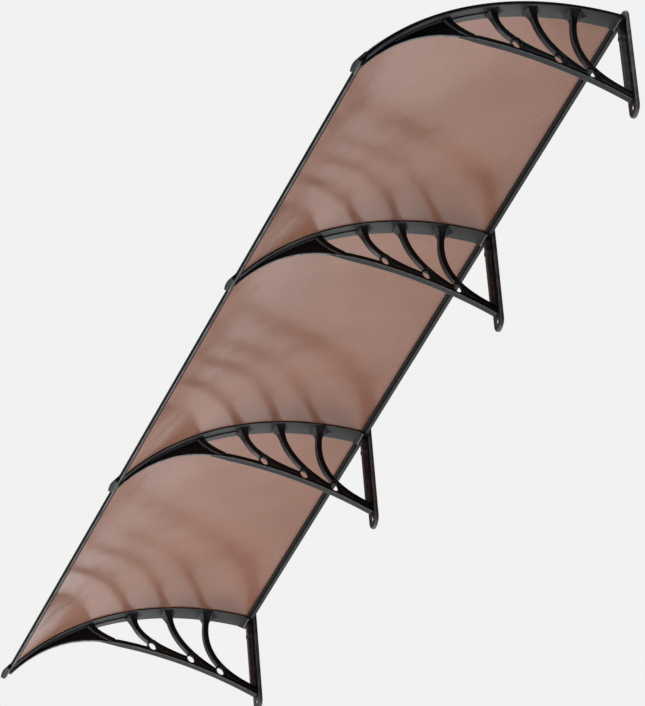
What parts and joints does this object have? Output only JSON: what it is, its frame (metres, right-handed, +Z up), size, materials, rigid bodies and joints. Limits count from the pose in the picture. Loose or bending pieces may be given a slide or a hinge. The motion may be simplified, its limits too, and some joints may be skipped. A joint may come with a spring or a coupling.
{
  "type": "window awning",
  "caption": "Curved, tinted polycarbonate window awning on moulded lattice brackets, edged with aluminium rails and bolted to a wall to keep rain and sun off a window or door.",
  "frame": {"origin": "centre of the back face of the middle wall rail's upright leg, on the wall plane", "axes": "+X along the wall, +Y into the wall, +Z up; the awning reaches out to -Y"},
  "size_m": [3.056, 0.8196, 0.3616],
  "materials": {
    "black_plastic": "black moulded plastic, satin",
    "bronze_sheet": "bronze-tinted polycarbonate with fine lines along the wall",
    "dark_aluminium": "dark coated extrusion",
    "screw_steel": "plain pan heads"
  },
  "bodies": {
    "root": {"bracket_1": "black_plastic", "bracket_2": "black_plastic", "bracket_3": "black_plastic", "bracket_4": "black_plastic", "cover_strip_1": "black_plastic", "cover_strip_2": "black_plastic", "cover_strip_3": "black_plastic", "cover_strip_4": "black_plastic", "sheet_1": "bronze_sheet", "sheet_2": "bronze_sheet", "sheet_3": "bronze_sheet", "front_rail_1": "dark_aluminium", "front_rail_2": "dark_aluminium", "front_rail_3": "dark_aluminium", "wall_rail_1": "dark_aluminium", "wall_rail_2": "dark_aluminium", "wall_rail_3": "dark_aluminium", "screw_1_1": "screw_steel", "screw_1_2": "screw_steel", "screw_1_3": "screw_steel", "screw_1_4": "screw_steel", "screw_1_5": "screw_steel", "screw_2_1": "screw_steel", "screw_2_2": "screw_steel", "screw_2_3": "screw_steel", "screw_2_4": "screw_steel", "screw_2_5": "screw_steel", "screw_3_1": "screw_steel", "screw_3_2": "screw_steel", "screw_3_3": "screw_steel", "screw_3_4": "screw_steel", "screw_3_5": "screw_steel", "screw_4_1": "screw_steel", "screw_4_2": "screw_steel", "screw_4_3": "screw_steel", "screw_4_4": "screw_steel", "screw_4_5": "screw_steel"}
  },
  "joints": []
}
